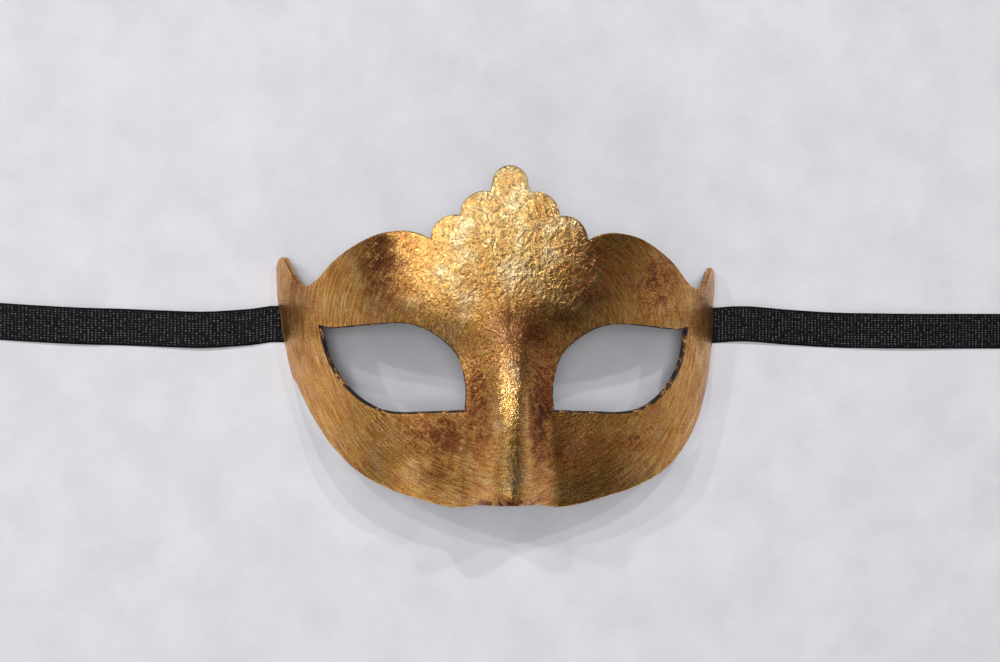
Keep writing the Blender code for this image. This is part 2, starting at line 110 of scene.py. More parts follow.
class Recipe:
    """One material's nodes, and short ways to add to them."""

    def __init__(self, name: str) -> None:
        """Start from a plain Principled shader.

        Args:
            name: What the real finish is.
        """
        self.material = bpy.data.materials.new(name)
        self.material.use_nodes = True
        self.tree = self.material.node_tree
        self.shader = self.tree.nodes["Principled BSDF"]

    def node(self, kind: str, settings: Optional[dict] = None,
             links: Optional[dict] = None) -> bpy.types.Node:
        """Add a shader node, with its settings and its inputs linked.

        Args:
            kind: Blender's type name without the ShaderNode prefix.
            settings: Values of the node's properties or, by name or index, of its inputs.
            links: Output sockets to link, by the input's name or index.

        Returns:
            The new node.
        """
        node = self.tree.nodes.new("ShaderNode" + kind)
        for key, value in (settings or {}).items():
            if isinstance(key, str) and hasattr(node, key):
                setattr(node, key, value)
            else:
                node.inputs[key].default_value = value
        for key, socket in (links or {}).items():
            self.tree.links.new(socket, node.inputs[key])
        return node

    def place(self, uv_map: Optional[str] = None) -> Socket:
        """Read the coordinates that a pattern lies in.

        Args:
            uv_map: Name of the UV map; the object's own coordinates without it.

        Returns:
            The coordinates' socket.
        """
        if uv_map:
            return self.node("UVMap", {"uv_map": uv_map}).outputs["UV"]
        return self.node("TexCoord").outputs["Object"]

    def ramp(self, factor: Socket, *stops: tuple[float, str]) -> Socket:
        """Colour a value by hex tones.

        Args:
            factor: Socket that drives the ramp.
            stops: Positions and hex codes, in order.

        Returns:
            The colour's socket.
        """
        node = self.node("ValToRGB", links={"Fac": factor})
        elements = node.color_ramp.elements
        while len(elements) < len(stops):
            elements.new(0.5)
        for element, (place, code) in zip(elements, stops):
            element.position = place
            element.color = tone(code)
        return node.outputs["Color"]

    def remap(self, value: Socket, low: float, high: float, to_low: float = 0.0,
              to_high: float = 1.0) -> Socket:
        """Carry a value smoothly from one range to another, and hold it at the ends.

        Args:
            value: Socket to carry.
            low: Value that becomes to_low.
            high: Value that becomes to_high.
            to_low: Result at low.
            to_high: Result at high.

        Returns:
            The result's socket.
        """
        settings = {"interpolation_type": "SMOOTHSTEP", "From Min": low, "From Max": high,
                    "To Min": to_low, "To Max": to_high}
        return self.node("MapRange", settings, {"Value": value}).outputs["Result"]

    def combine(self, operation: str, *terms) -> Socket:
        """A Math node over sockets and numbers, in order.

        Args:
            operation: The node's operation.
            terms: Its inputs: sockets or floats.

        Returns:
            The result's socket.
        """
        numbers = {index: term for index, term in enumerate(terms) if isinstance(term, float)}
        links = {index: term for index, term in enumerate(terms) if not isinstance(term, float)}
        return self.node("Math", {"operation": operation, **numbers}, links).outputs[0]

    def mixed(self, factor: Socket, first: Socket, second: Socket | str) -> Socket:
        """A mix of two colours.

        Args:
            factor: How much of the second.
            first: The first colour.
            second: The second, as a socket or a hex code.

        Returns:
            The mixed colour's socket.
        """
        links = {"Fac": factor, "Color1": first}
        if isinstance(second, str):
            return self.node("MixRGB", {"Color2": tone(second)}, links).outputs[0]
        return self.node("MixRGB", None, {**links, "Color2": second}).outputs[0]

    def lumps(self, place: Socket, scale: float, detail: float, roughness: float = 0.5,
              distortion: float = 0.0) -> Socket:
        """Noise over a place.

        Args:
            place: UV or object coordinates.
            scale: Lumps in one unit of them.
            detail: Octaves.
            roughness: How strong each next octave is.
            distortion: How far it is swirled.

        Returns:
            The noise's socket.
        """
        settings = {"Scale": scale, "Detail": detail, "Roughness": roughness,
                    "Distortion": distortion}
        return self.node("TexNoise", settings, {"Vector": place}).outputs["Fac"]

    def feed(self, **sockets: Socket) -> None:
        """Link sockets to the shader's inputs, named with underscores for spaces."""
        for name, socket in sockets.items():
            self.tree.links.new(socket, self.shader.inputs[name.replace("_", " ")])

    def set(self, **values) -> None:
        """Set constant values on the shader's inputs, named with underscores for spaces."""
        for name, value in values.items():
            self.shader.inputs[name.replace("_", " ")].default_value = value

    def relief(self, height: Socket, distance: float, strength: float = 1.0,
               over: Optional[Socket] = None) -> Socket:
        """A bumped normal.

        Args:
            height: Height of the relief, from 0 to 1.
            distance: How high a height of 1 stands.
            strength: How strongly it shows.
            over: Normal that it is laid over.

        Returns:
            The normal's socket.
        """
        links = {"Height": height}
        if over is not None:
            links["Normal"] = over
        return self.node("Bump", {"Strength": strength, "Distance": distance}, links).outputs[0]


def mesh_object(name: str, shape: bmesh.types.BMesh,
                materials: Iterable[bpy.types.Material]) -> bpy.types.Object:
    """Turn a bmesh into a linked, smooth-shaded object at the origin.

    Args:
        name: The piece's name.
        shape: Its bmesh, which is freed.
        materials: Its material slots, in order.

    Returns:
        The new object.
    """
    mesh = bpy.data.meshes.new(name)
    shape.to_mesh(mesh)
    shape.free()
    for material in materials:
        mesh.materials.append(material)
    mesh.shade_smooth()
    piece = bpy.data.objects.new(name, mesh)
    bpy.context.collection.objects.link(piece)
    return piece


def fractal(point: Vector, scale: float, octaves: int = 3) -> float:
    """Smooth noise from about -1 to 1 whose lumps are about scale wide."""
    return noise.fractal(point / scale, 1.0, 2.0, octaves)


# ---------------------------------------------------------------------------
# The face that every piece is wrapped on
# ---------------------------------------------------------------------------


@dataclass(frozen=True)
class Swell:
    """A soft mound or hollow of the face.

    Args:
        u: Place across, mirrored on both sides.
        v: Place upwards.
        spread_u: Reach across.
        spread_v: Reach upwards.
        height: Height, negative for a hollow.
    """

    u: float
    v: float
    spread_u: float
    spread_v: float
    height: float

    def at(self, u: np.ndarray, v: np.ndarray) -> np.ndarray:
        """Height of the swell at pattern points."""
        reach = ((np.abs(u) - self.u) / self.spread_u) ** 2 + ((v - self.v) / self.spread_v) ** 2
        return self.height * np.exp(-reach)


@dataclass
class Face:
    """The moulded face, as the frame's solids have it."""

    half_width: float = 93.5 * MM
    wrap_depth: float = 60 * MM
    edge_height: float = 10 * MM
    brow_level: float = 18 * MM
    face_tilt: float = 0.06
    crown_lean: float = 2.2
    cheek_lean: float = 2.0
    ear_level: float = 30 * MM
    left_narrowing: float = 11.0 * MM
    right_narrowing: float = 3.5 * MM
    narrowing_span: float = 55 * MM
    narrowing_ease: float = 0.25
    nose_rises: tuple = (
        # v where a rise starts, v where it ends, height
        (20 * MM, -50 * MM, 13.0 * MM),
        (-13 * MM, -33 * MM, 3.6 * MM),
    )
    bridge_half_width: float = 9 * MM
    nostril_half_width: float = 15 * MM
    flare_top: float = -4 * MM
    flare_end: float = -66 * MM
    nose_crest: float = 2.8
    swells: tuple[Swell, ...] = (
        Swell(48 * MM, 15 * MM, 24 * MM, 12 * MM, 1.2 * MM),
        Swell(42 * MM, -45 * MM, 22 * MM, 12 * MM, 2.0 * MM),
        Swell(22 * MM, -8 * MM, 9 * MM, 12 * MM, -1.5 * MM),
        Swell(0 * MM, -64 * MM, 7 * MM, 5 * MM, 2.4 * MM),
    )
    arc_length: np.ndarray = field(init=False)
    arc_angle: np.ndarray = field(init=False)
    ear_x: float = field(init=False)
    ear_u: float = field(init=False)

    def __post_init__(self) -> None:
        """Tabulate the angle against arc length on the brow's quarter ellipse."""
        self.arc_angle = np.linspace(0, math.pi / 2, 721)
        across = np.diff(self.half_width * np.sin(self.arc_angle))
        down = np.diff(self.wrap_depth * np.cos(self.arc_angle))
        self.arc_length = np.concatenate([[0.0], np.cumsum(np.hypot(across, down))])
        ear_angle = math.acos(self.edge_height / self.wrap_depth)
        self.ear_x = self.half_width * math.sin(ear_angle)
        self.ear_u = float(np.interp(ear_angle, self.arc_angle, self.arc_length))

    @staticmethod
    def ease(start: float, end: float, value: np.ndarray) -> np.ndarray:
        """0 before start, 1 after end, and a smooth rise between."""
        share = np.clip((value - start) / (end - start), 0, 1)
        return share * share * (3 - 2 * share)

    def point(self, u: np.ndarray, v: np.ndarray) -> np.ndarray:
        """Places on the outer surface of pattern points.

        Args:
            u: Distances across.
            v: Distances upwards.

        Returns:
            An array of x, y and z.
        """
        past = np.maximum(np.abs(u) - self.arc_length[-1], 0) / self.wrap_depth
        angle = np.sign(u) * (np.interp(np.abs(u), self.arc_length, self.arc_angle) + past)
        below = np.maximum(self.ear_level - v, 0) / self.narrowing_span
        narrowing = np.where(u < 0, self.left_narrowing, self.right_narrowing)
        narrowing = narrowing * below ** 2 / (1 + self.narrowing_ease * below ** 2)
        x = (self.half_width - narrowing) * np.sin(angle)
        lean = np.where(v > self.brow_level, self.crown_lean, self.cheek_lean)
        above = v - self.brow_level
        depth = self.wrap_depth + self.face_tilt * above - lean * above ** 2
        z = depth * np.cos(angle) - self.edge_height
        flare = self.ease(self.flare_top, self.flare_end, v)
        width = self.bridge_half_width + (self.nostril_half_width - self.bridge_half_width) * flare
        crest = np.exp(-np.abs(u / width) ** self.nose_crest)
        for start, end, height in self.nose_rises:
            z = z + height * self.ease(start, end, v) * crest
        for swell in self.swells:
            z = z + swell.at(u, v)
        return np.stack([x, v + 0 * x, z], axis=-1)

    def wrap(self, flat: np.ndarray) -> np.ndarray:
        """Carry pattern points onto the face.

        Args:
            flat: Rows of u, v and w, the height over the outer surface.

        Returns:
            Rows of x, y and z.
        """
        u, v, w = flat[:, 0], flat[:, 1], flat[:, 2]
        step = 0.05 * MM
        along_u = self.point(u + step, v) - self.point(u - step, v)
        along_v = self.point(u, v + step) - self.point(u, v - step)
        normal = np.cross(along_u, along_v)
        normal /= np.linalg.norm(normal, axis=1, keepdims=True)
        return self.point(u, v) + normal * w[:, None]

    def bend(self, shape: bmesh.types.BMesh, flat: Optional[np.ndarray] = None) -> None:
        """Wrap a flat shape onto the face.

        Args:
            shape: The shape, in pattern coordinates.
            flat: Where its corners lie, if not where they are.
        """
        if flat is None:
            flat = np.array([vert.co for vert in shape.verts])
        for vert, place in zip(shape.verts, self.wrap(flat)):
            vert.co = place


@dataclass
class Pattern:
    """Outlines of the shell's flat pattern, drawn for drawn_ear and stretched to the ear.

    Corners are in millimetres and on the right half.

    Args:
        ear_u: Where the ear meets the surface.
    """

    ear_u: float
    drawn_ear: float = 112.0 * MM
    finial_radius: float = 7.1 * MM
    finial_top: float = 66.7 * MM
    lobe_bulge: float = 0.23
    notches: tuple = ((8.0, 56.4), (19.6, 47.2), (31.1, 38.0))
    brow: tuple = (
        (31.1, 38.0), (37.0, 40.4), (44.2, 41.1), (54.0, 39.4), (63.9, 34.9),
        (72.4, 29.5), (79.5, 23.4), (86.9, 20.0),
    )
    left_horn: tuple = ((93.5, 23.1), (99.5, 29.2), (103.0, 32.0), (108.0, 31.4))
    right_horn: tuple = ((94.0, 21.8), (100.5, 26.8), (104.0, 29.2), (108.0, 28.4))
    ear_top: tuple = (115.0, 27.0)
    cheek: tuple = (
        (115.0, 27.0), (115.0, -12.0), (107.0, -20.0), (101.5, -28.5), (94.0, -38.6),
        (86.0, -46.6), (75.0, -54.5), (60.0, -60.6), (45.0, -64.5), (30.0, -67.7),
        (22.0, -68.1), (12.0, -66.0), (0.0, -65.4),
    )
    eye: tuple = (
        (81.4, 4.1), (76.0, 3.2), (70.7, 3.3), (55.0, 4.6), (43.3, 5.1), (36.0, 3.6),
        (30.0, 0.7), (24.5, -3.6), (20.6, -9.1), (18.4, -18.9), (19.0, -28.8),
    )
    eye_lower: tuple = (
        (19.0, -28.8), (28.0, -29.2), (37.6, -29.5), (47.0, -29.9), (56.0, -29.2),
        (62.5, -27.0), (69.2, -22.9), (74.5, -17.6), (78.8, -10.9), (80.6, -4.0), (81.4, 4.1),
    )
    run_steps: int = 8
    arc_steps: int = 16

    def run(self, points: Sequence[tuple]) -> list[Vector]:
        """Points of a smooth curve through a list, without its last one.

        Args:
            points: Corners in millimetres.

        Returns:
            The curve's points.
        """
        knots = [Vector(point) * MM for point in points]
        knots = [2 * knots[0] - knots[1]] + knots + [2 * knots[-1] - knots[-2]]
        result = []
        for before, start, end, after in zip(knots, knots[1:], knots[2:], knots[3:]):
            for step in range(self.run_steps):
                t = step / self.run_steps
                result.append(0.5 * (2 * start + (end - before) * t
                                     + (2 * before - 5 * start + 4 * end - after) * t ** 2
                                     + (3 * start - before - 3 * end + after) * t ** 3))
        return result

    def lobe(self, start: Vector, end: Vector) -> list[Vector]:
        """Points of a round lobe from start to end, without its end.

        Args:
            start: Where it starts.
            end: Where it ends.

        Returns:
            The lobe's points.
        """
        chord = (end - start).length
        rise = self.lobe_bulge * chord
        radius = (rise ** 2 + (chord / 2) ** 2) / (2 * rise)
        side = Vector((start.y - end.y, end.x - start.x)) / chord
        middle = (start + end) / 2 + side * (rise - radius)
        first = math.atan2(start.y - middle.y, start.x - middle.x)
        last = math.atan2(end.y - middle.y, end.x - middle.x)
        sweep = (last - first) % math.tau - math.tau
        angles = [first + sweep * step / self.arc_steps for step in range(self.arc_steps)]
        return [middle + radius * Vector((math.cos(a), math.sin(a))) for a in angles]

    def half(self, horn: tuple) -> list[Vector]:
        """Right half of the outline, clockwise from the top of the finial.

        Args:
            horn: Corners of that side's ear.

        Returns:
            The half's points.
        """
        centre = self.finial_top - self.finial_radius
        angles = [math.pi / 2 * step / self.arc_steps for step in range(self.arc_steps + 1)]
        points = [self.finial_radius * Vector((math.sin(a), math.cos(a))) + Vector((0, centre))
                  for a in angles]
        notches = [Vector(notch) * MM for notch in self.notches]
        for start, end in zip(notches, notches[1:]):
            points += self.lobe(start, end)
        points += self.run(self.brow + horn + (self.ear_top,))
        points += self.run(self.cheek)
        points.append(Vector(self.cheek[-1]) * MM)
        return points

    def stretched(self, points: Iterable[Vector], side: Side) -> list[Vector]:
        """Drawn points of a right half, stretched to the ear and put on one side."""
        share = side.value * self.ear_u / self.drawn_ear
        return [Vector((share * point.x, point.y)) for point in points]

    def outline(self) -> list[Vector]:
        """The shell's whole outline, clockwise from the top of the finial."""
        right, left = self.half(self.right_horn), self.half(self.left_horn)[-2:0:-1]
        return self.stretched(right, Side.RIGHT) + self.stretched(left, Side.LEFT)

    def eye_hole(self, side: Side) -> list[Vector]:
        """Outline of one eye hole."""
        return self.stretched(self.run(self.eye) + self.run(self.eye_lower), side)


def inset(points: list[Vector], distance: float) -> list[Vector]:
    """Move every point of an outline inwards, or outwards where distance is negative.

    Args:
        points: The outline.
        distance: How far.

    Returns:
        The moved points.
    """
    pairs = zip(points, points[1:] + points[:1])
    turn = math.copysign(1, sum(a.x * b.y - b.x * a.y for a, b in pairs))
    moved = []
    for before, here, after in zip(points[-1:] + points[:-1], points, points[1:] + points[:1]):
        tangent = ((here - before).normalized() + (after - here).normalized()).normalized()
        moved.append(here + turn * distance * Vector((-tangent.y, tangent.x)))
    return moved


def cut_level(shape: bmesh.types.BMesh, height: float) -> list[bmesh.types.BMFace]:
    """Cut a closed shape off flat below a height.

    Args:
        shape: The shape.
        height: Where to cut it.

    Returns:
        The new flat faces.
    """
    everything = shape.verts[:] + shape.edges[:] + shape.faces[:]
    cut = bmesh.ops.bisect_plane(shape, geom=everything, plane_co=(0, 0, height),
                                 plane_no=(0, 0, 1), clear_inner=True)
    edges = [item for item in cut["geom_cut"] if isinstance(item, bmesh.types.BMEdge)]
    filled = bmesh.ops.triangle_fill(shape, use_beauty=True, edges=edges)
    return [item for item in filled["geom"] if isinstance(item, bmesh.types.BMFace)]


@dataclass
class Sheet:
    """A flat sheet with rounded rims, cut to an outline and scored along a grid.

    Args:
        outline: Its outer outline.
        holes: Outlines of its holes.
        top: Height of its outer side, w.
        bottom: Height of its inner side, w.
        rim: Radius of its rounded rims.
        cell: Spacing of the grid.
        rim_steps: Segments of each rounded rim.
    """

    outline: list[Vector]
    holes: list[list[Vector]]
    top: float
    bottom: float
    rim: float
    cell: float
    rim_steps: int = 3

    def profile(self) -> list[tuple[float, float]]:
        """Inset and height of each row of the rim, from the outer side to the inner.

        Returns:
            The pairs, in order.
        """
        quarter = [math.pi / 2 * step / self.rim_steps for step in range(self.rim_steps + 1)]
        upper = [(self.rim * (1 - math.sin(a)), self.top - self.rim * (1 - math.cos(a)))
                 for a in quarter]
        lower = [(gap, self.top + self.bottom - height) for gap, height in reversed(upper)]
        return upper + lower

    def build(self) -> bmesh.types.BMesh:
        """Model the flat sheet.

        Returns:
            A closed bmesh in pattern coordinates, its faces' material index a Zone.
        """
        shape = bmesh.new()
        rows = self.profile()
        rims = []
        for index, loop in enumerate([self.outline] + self.holes):
            zone = Zone.CUT_EDGE if index else Zone.GILDED
            rims.append(self.rim_wall(shape, loop, rows, index > 0, zone))
        for level, zone in ((0, Zone.GILDED), (-1, Zone.INSIDE)):
            edges = [edge for rim in rims for edge in rim[level]]
            filled = bmesh.ops.triangle_fill(shape, use_beauty=True, use_dissolve=False,
                                             edges=edges)
            for item in filled["geom"]:
                if isinstance(item, bmesh.types.BMFace):
                    item.material_index = zone.value
        bmesh.ops.recalc_face_normals(shape, faces=shape.faces)
        self.score(shape)
        return shape

    def rim_wall(self, shape: bmesh.types.BMesh, loop: list[Vector],
                 rows: list[tuple[float, float]], is_hole: bool,
                 zone: Zone) -> list[list[bmesh.types.BMEdge]]:
        """Draw one rim down its profile.

        Args:
            shape: Bmesh to add to.
            loop: The rim's outline.
            rows: Inset and height of each row.
            is_hole: Whether material lies outside the loop.
            zone: Material zone of the wall.

        Returns:
            The edges of the wall's first and last rows.
        """
        sign = -1 if is_hole else 1
        first_gap, first_height = rows[0]
        places = inset(loop, sign * first_gap)
        verts = [shape.verts.new((p.x, p.y, first_height)) for p in places]
        edges = [shape.edges.new(pair) for pair in zip(verts, verts[1:] + verts[:1])]
        top_edges = list(edges)
        for gap, height in rows[1:]:
            drawn = bmesh.ops.extrude_edge_only(shape, edges=edges)["geom"]
            old = verts
            fresh = {item for item in drawn if isinstance(item, bmesh.types.BMVert)}
            verts = [next(e.other_vert(v) for e in v.link_edges if e.other_vert(v) in fresh)
                     for v in old]
            for vert, place in zip(verts, inset(loop, sign * gap)):
                vert.co = (place.x, place.y, height)
            edges = [item for item in drawn if isinstance(item, bmesh.types.BMEdge)
                     and item.verts[0] in fresh and item.verts[1] in fresh]
            for item in drawn:
                if isinstance(item, bmesh.types.BMFace):
                    item.material_index = zone.value
        return [top_edges, edges]

    def score(self, shape: bmesh.types.BMesh) -> None:
        """Cut the sheet along the grid that it will bend on, and drop the filling's diagonals.

        Args:
            shape: The flat sheet.
        """
        spans = []
        for axis in (0, 1):
            values = [vert.co[axis] for vert in shape.verts]
            spans.append((min(values), max(values)))
        for axis, (low, high) in enumerate(spans):
            across = Vector((1 - axis, axis, 0))
            for index in range(math.ceil(low / self.cell), math.floor(high / self.cell) + 1):
                everything = shape.verts[:] + shape.edges[:] + shape.faces[:]
                bmesh.ops.bisect_plane(shape, geom=everything, dist=TINY,
                                       plane_co=across * (index * self.cell), plane_no=across)
        loose = [edge for edge in shape.edges if self.is_diagonal(edge)]
        bmesh.ops.dissolve_edges(shape, edges=loose, use_verts=True)

    def is_diagonal(self, edge: bmesh.types.BMEdge) -> bool:
        """Whether an edge is left from the filling and lies inside one flat side.

        Args:
            edge: An edge of the sheet.

        Returns:
            True where it can go.
        """
        if len(edge.link_faces) != 2 or any(abs(f.normal.z) < LEVEL for f in edge.link_faces):
            return False
        run = edge.verts[1].co - edge.verts[0].co
        return min(abs(run.x), abs(run.y)) > TINY


# ---------------------------------------------------------------------------
# Finishes
# ---------------------------------------------------------------------------


@dataclass(frozen=True)
class GoldLeaf:
    """Burnished gold leaf on red bole over papier-mache."""

    bright: str = "f9e6b4"
    gold: str = "e6c07a"
    soft: str = "d49c50"
    stroke: str = "ffcf74"
    deep: str = "dd8a36"
    scored: str = "8e4212"
    aged: str = "bf6a2a"
    bole: str = "7d3718"
    shadow: str = "451c0c"
    # Dark brown mixed into the leaf where it is darkened: some dark wax, mostly painted dark
    # reflections
    wax_and_painted_reflection_tone: str = "43200a"
    crinkle_width: float = 2.5 * MM
    pit_width: float = 0.9 * MM
    fleck_width: float = 0.8 * MM
    streak_width: float = 0.9 * MM
    streak_share: float = 0.09
    cloud_width: float = 11 * MM
    smear_width: float = 5 * MM
    grain_height: float = 0.03 * MM
    streak_height: float = 0.34 * MM
    pit_height: float = 0.09 * MM
    crinkle_height: float = 1.0 * MM

    def build(self) -> bpy.types.Material:
        """Crinkled bright leaf on the crown, brushed leaf on the cheeks, bole where it wore, and
        painted dark reflections with some dark wax in spots.

        Returns:
            The finish.
        """
        recipe = Recipe("burnished_gold_leaf_on_red_bole")
        flat = recipe.place("pattern")
        sweep = recipe.place("sweep")
        foil, worn, aged, toned, rim = [
            recipe.node("Attribute", {"attribute_name": name}).outputs["Fac"]
            for name in LEAF_ATTRIBUTES]
        brushed = recipe.combine("SUBTRACT", 1.0, foil)

        clouds = recipe.lumps(flat, UV_UNIT / self.cloud_width, 5.0, 0.6)
        grain = recipe.lumps(flat, UV_UNIT / self.fleck_width, 4.0, 0.7)
        drawn_out = {"Scale": (1.0, self.streak_share, 1.0)}
        long_way = recipe.node("Mapping", drawn_out, {"Vector": sweep}).outputs[0]
        streaks = recipe.lumps(long_way, UV_UNIT / self.streak_width, 4.0, 0.65)
        smears = recipe.lumps(sweep, UV_UNIT / self.smear_width, 5.0, 0.65, 0.6)
        crinkle = recipe.lumps(flat, UV_UNIT / self.crinkle_width, 4.0, 0.58, 0.35)

        leaf = recipe.ramp(clouds, (0.28, self.soft), (0.5, self.gold), (0.66, self.bright))
        strokes = recipe.ramp(streaks, (0.36, self.scored), (0.46, self.deep), (0.58, self.stroke))
        leaf = recipe.mixed(recipe.combine("MULTIPLY", 0.8, brushed), leaf, strokes)
        glaze = recipe.combine("MULTIPLY", aged, recipe.remap(smears, 0.35, 0.65, 0.6, 1.4))
        leaf = recipe.mixed(glaze, leaf, self.aged)
        # Painted dark reflections, with some dark wax: the leaf is darkened towards a dark brown in
        # listed spots on the left brow, down the right of the forehead, on the ears and on the
        # cheeks
        wax_and_painted_reflection_tone = recipe.combine("MULTIPLY", toned, recipe.remap(smears, 0.35, 0.65, 0.75, 1.15))
        wax_and_painted_reflection_tone = recipe.combine("MULTIPLY", wax_and_painted_reflection_tone, recipe.remap(streaks, 0.40, 0.60, 1.1, 0.8))
        leaf = recipe.mixed(wax_and_painted_reflection_tone, leaf, self.wax_and_painted_reflection_tone)

        patchy = recipe.combine("MULTIPLY", worn, recipe.remap(smears, 0.35, 0.65, 0.35, 1.65))
        hollows = recipe.combine("MULTIPLY", foil, recipe.remap(crinkle, 0.46, 0.34, 0.0, 0.09))
        patchy = recipe.combine("ADD", patchy, hollows)
        bared = recipe.remap(recipe.combine("ADD", patchy, grain), 0.54, 0.80)
        bole = recipe.ramp(clouds, (0.35, self.shadow), (0.6, self.bole))
        metal = recipe.combine("MULTIPLY_ADD", glaze, -0.22, 0.99)
        rough = recipe.combine("MULTIPLY_ADD", foil, -0.04, 0.25)
        rough = recipe.combine("MULTIPLY_ADD", rim, -0.12, rough)
        recipe.feed(Base_Color=recipe.mixed(bared, leaf, bole),
                    Metallic=recipe.combine("MULTIPLY_ADD", bared, -0.30, metal),
                    Roughness=recipe.combine("MULTIPLY_ADD", bared, 0.15, rough))

        pits = recipe.lumps(flat, UV_UNIT / self.pit_width, 2.0)
        normal = recipe.relief(grain, self.grain_height)
        for height, share, distance in ((streaks, brushed, self.streak_height),
                                        (pits, foil, self.pit_height),
                                        (crinkle, foil, self.crinkle_height)):
            normal = recipe.relief(recipe.combine("MULTIPLY", height, share), distance, over=normal)
        recipe.feed(Normal=normal)
        return recipe.material


@dataclass(frozen=True)
class CutEdge:
    """Cut papier-mache edge, painted black, with leaf and bole caught on it."""

    paint: str = "0b0a09"
    bole: str = "5b2416"
    leaf: str = "d9b26a"
    patch_width: float = 3.5 * MM
    grain_width: float = 0.7 * MM
    relief: float = 0.12 * MM

    def build(self) -> bpy.types.Material:
        """Mostly black, ragged with red bole and a few flecks of gold.

        Returns:
            The finish.
        """
        recipe = Recipe("black_painted_cut_edge")
        place = recipe.place()
        patches = recipe.lumps(place, 1 / self.patch_width, 5.0, 0.7)
        grain = recipe.lumps(place, 1 / self.grain_width, 3.0)
        both = recipe.combine("MULTIPLY_ADD", grain, 0.35, patches)
        recipe.set(Roughness=0.6)
        recipe.feed(Base_Color=recipe.ramp(both, (0.66, self.paint), (0.74, self.bole),
                                           (0.80, self.leaf)),
                    Metallic=recipe.remap(both, 0.77, 0.81),
                    Normal=recipe.relief(both, self.relief))
        return recipe.material


@dataclass(frozen=True)
class BlackCloth:
    """Thin black plain-weave cotton, or felt where the fibres are coarse."""

    name: str = "black_cotton_lining"
    warp: str = "0d0d0f"
    lit: str = "26262a"
    thread: float = 0.45 * MM
    weave: bool = True
    relief: float = 0.1 * MM

    def build(self) -> bpy.types.Material:
        """Matt black with a fine weave or a tangle of fibres.

        Returns:
            The finish.
        """
        recipe = Recipe(self.name)
        place = recipe.place()
        height = recipe.lumps(place, 1 / (self.thread * 0.8), 4.0, 0.7)
        if self.weave:
            bands = [recipe.node("TexWave", {"bands_direction": axis, "Distortion": 0.4,
                                             "Scale": WAVE_RATE / self.thread},
                                 {"Vector": place}).outputs["Fac"] for axis in ("X", "Y")]
            height = recipe.combine("MULTIPLY", recipe.combine("MAXIMUM", *bands), height)
        recipe.set(Roughness=0.92, Specular_IOR_Level=0.2)
        recipe.feed(Base_Color=recipe.ramp(height, (0.25, self.warp), (0.75, self.lit)),
                    Normal=recipe.relief(height, self.relief, 0.8))
        return recipe.material


@dataclass(frozen=True)
class RibbonWeave:
    """Black ribbed polyester ribbon with a plain selvedge on both sides."""

    dark: str = "08080a"
    glint: str = "8c8c92"
    rib: float = 1.45 * MM
    pick: float = 1.0 * MM
    selvedge: float = 0.9 * MM
    selvedge_blur: float = 0.2 * MM
    wobble: float = 0.5 * MM
    wobble_width: float = 5 * MM
    flicker_width: float = 1.3 * MM
    width: float = 15 * MM
    relief: float = 0.12 * MM

    def build(self) -> bpy.types.Material:
        """Rows of small glints where the weft floats catch the light.

        Returns:
            The finish.
        """
        recipe = Recipe("black_ribbed_polyester_ribbon")
        along = recipe.place("weave")
        wobble = recipe.node("TexNoise", {"Scale": UV_UNIT / self.wobble_width, "Detail": 2.0},
                             {"Vector": along})
        shift = recipe.node("VectorMath", {"operation": "SCALE", "Scale": self.wobble / UV_UNIT},
                            {0: wobble.outputs["Color"]})
        laid = recipe.node("VectorMath", {"operation": "ADD"}, {0: along, 1: shift.outputs[0]})
        parts = recipe.node("SeparateXYZ", links={0: laid.outputs[0]})
        ribs = self.wave(recipe, parts.outputs["X"], self.rib)
        picks = self.wave(recipe, parts.outputs["Y"], self.pick)
        flicker = recipe.lumps(along, UV_UNIT / self.flicker_width, 2.0)
        uneven = recipe.combine("MULTIPLY", recipe.combine("MULTIPLY", ribs, picks),
                                recipe.remap(flicker, 0.3, 0.7, 0.35, 1.0))
        shown = recipe.combine("MULTIPLY", uneven, self.inside_selvedge(recipe, along))
        recipe.set(Roughness=0.6, Specular_IOR_Level=0.15)
        height = recipe.combine("MULTIPLY_ADD", ribs, 0.6, shown)
        recipe.feed(Base_Color=recipe.ramp(shown, (0.42, self.dark), (0.95, self.glint)),
                    Normal=recipe.relief(height, self.relief))
        return recipe.material

    @staticmethod
    def wave(recipe: Recipe, value: Socket, period: float) -> Socket:
        """A wave from 0 to 1 along one UV direction, period metres long."""
        turned = recipe.combine("MULTIPLY", value, math.tau * UV_UNIT / period)
        return recipe.remap(recipe.combine("SINE", turned), -0.6, 1.0)

    def inside_selvedge(self, recipe: Recipe, along: Socket) -> Socket:
        """1 over the woven middle and 0 on the plain edges.

        Args:
            recipe: The material's nodes.
            along: The ribbon's UV.

        Returns:
            The mask's socket.
        """
        across = recipe.node("SeparateXYZ", links={0: along}).outputs["Y"]
        centred = recipe.combine("SUBTRACT", across, self.width / UV_UNIT / 2)
        edge = (self.width / 2 - self.selvedge) / UV_UNIT
        soft = self.selvedge_blur / UV_UNIT
        return recipe.remap(recipe.combine("ABSOLUTE", centred), edge - soft, edge + soft, 1.0, 0.0)


@dataclass(frozen=True)
class HotGlue:
    """Cloudy hot-melt glue, slightly translucent and wavy."""

    cloudy: str = "cbbf9c"
    clear: str = "a8976a"
    cloud_width: float = 3 * MM
    scatter: tuple = (1.0 * MM, 0.8 * MM, 0.5 * MM)
    relief: float = 0.15 * MM

    def build(self) -> bpy.types.Material:
        """Waxy cream glue with a soft sheen.

        Returns:
            The finish.
        """
        recipe = Recipe("cloudy_hot_melt_glue")
        clouds = recipe.lumps(recipe.place(), 1 / self.cloud_width, 3.0)
        recipe.set(Roughness=0.35, Subsurface_Weight=0.2, Subsurface_Radius=self.scatter)
        recipe.feed(Base_Color=recipe.ramp(clouds, (0.35, self.clear), (0.65, self.cloudy)),
                    Normal=recipe.relief(clouds, self.relief, 0.6))
        return recipe.material


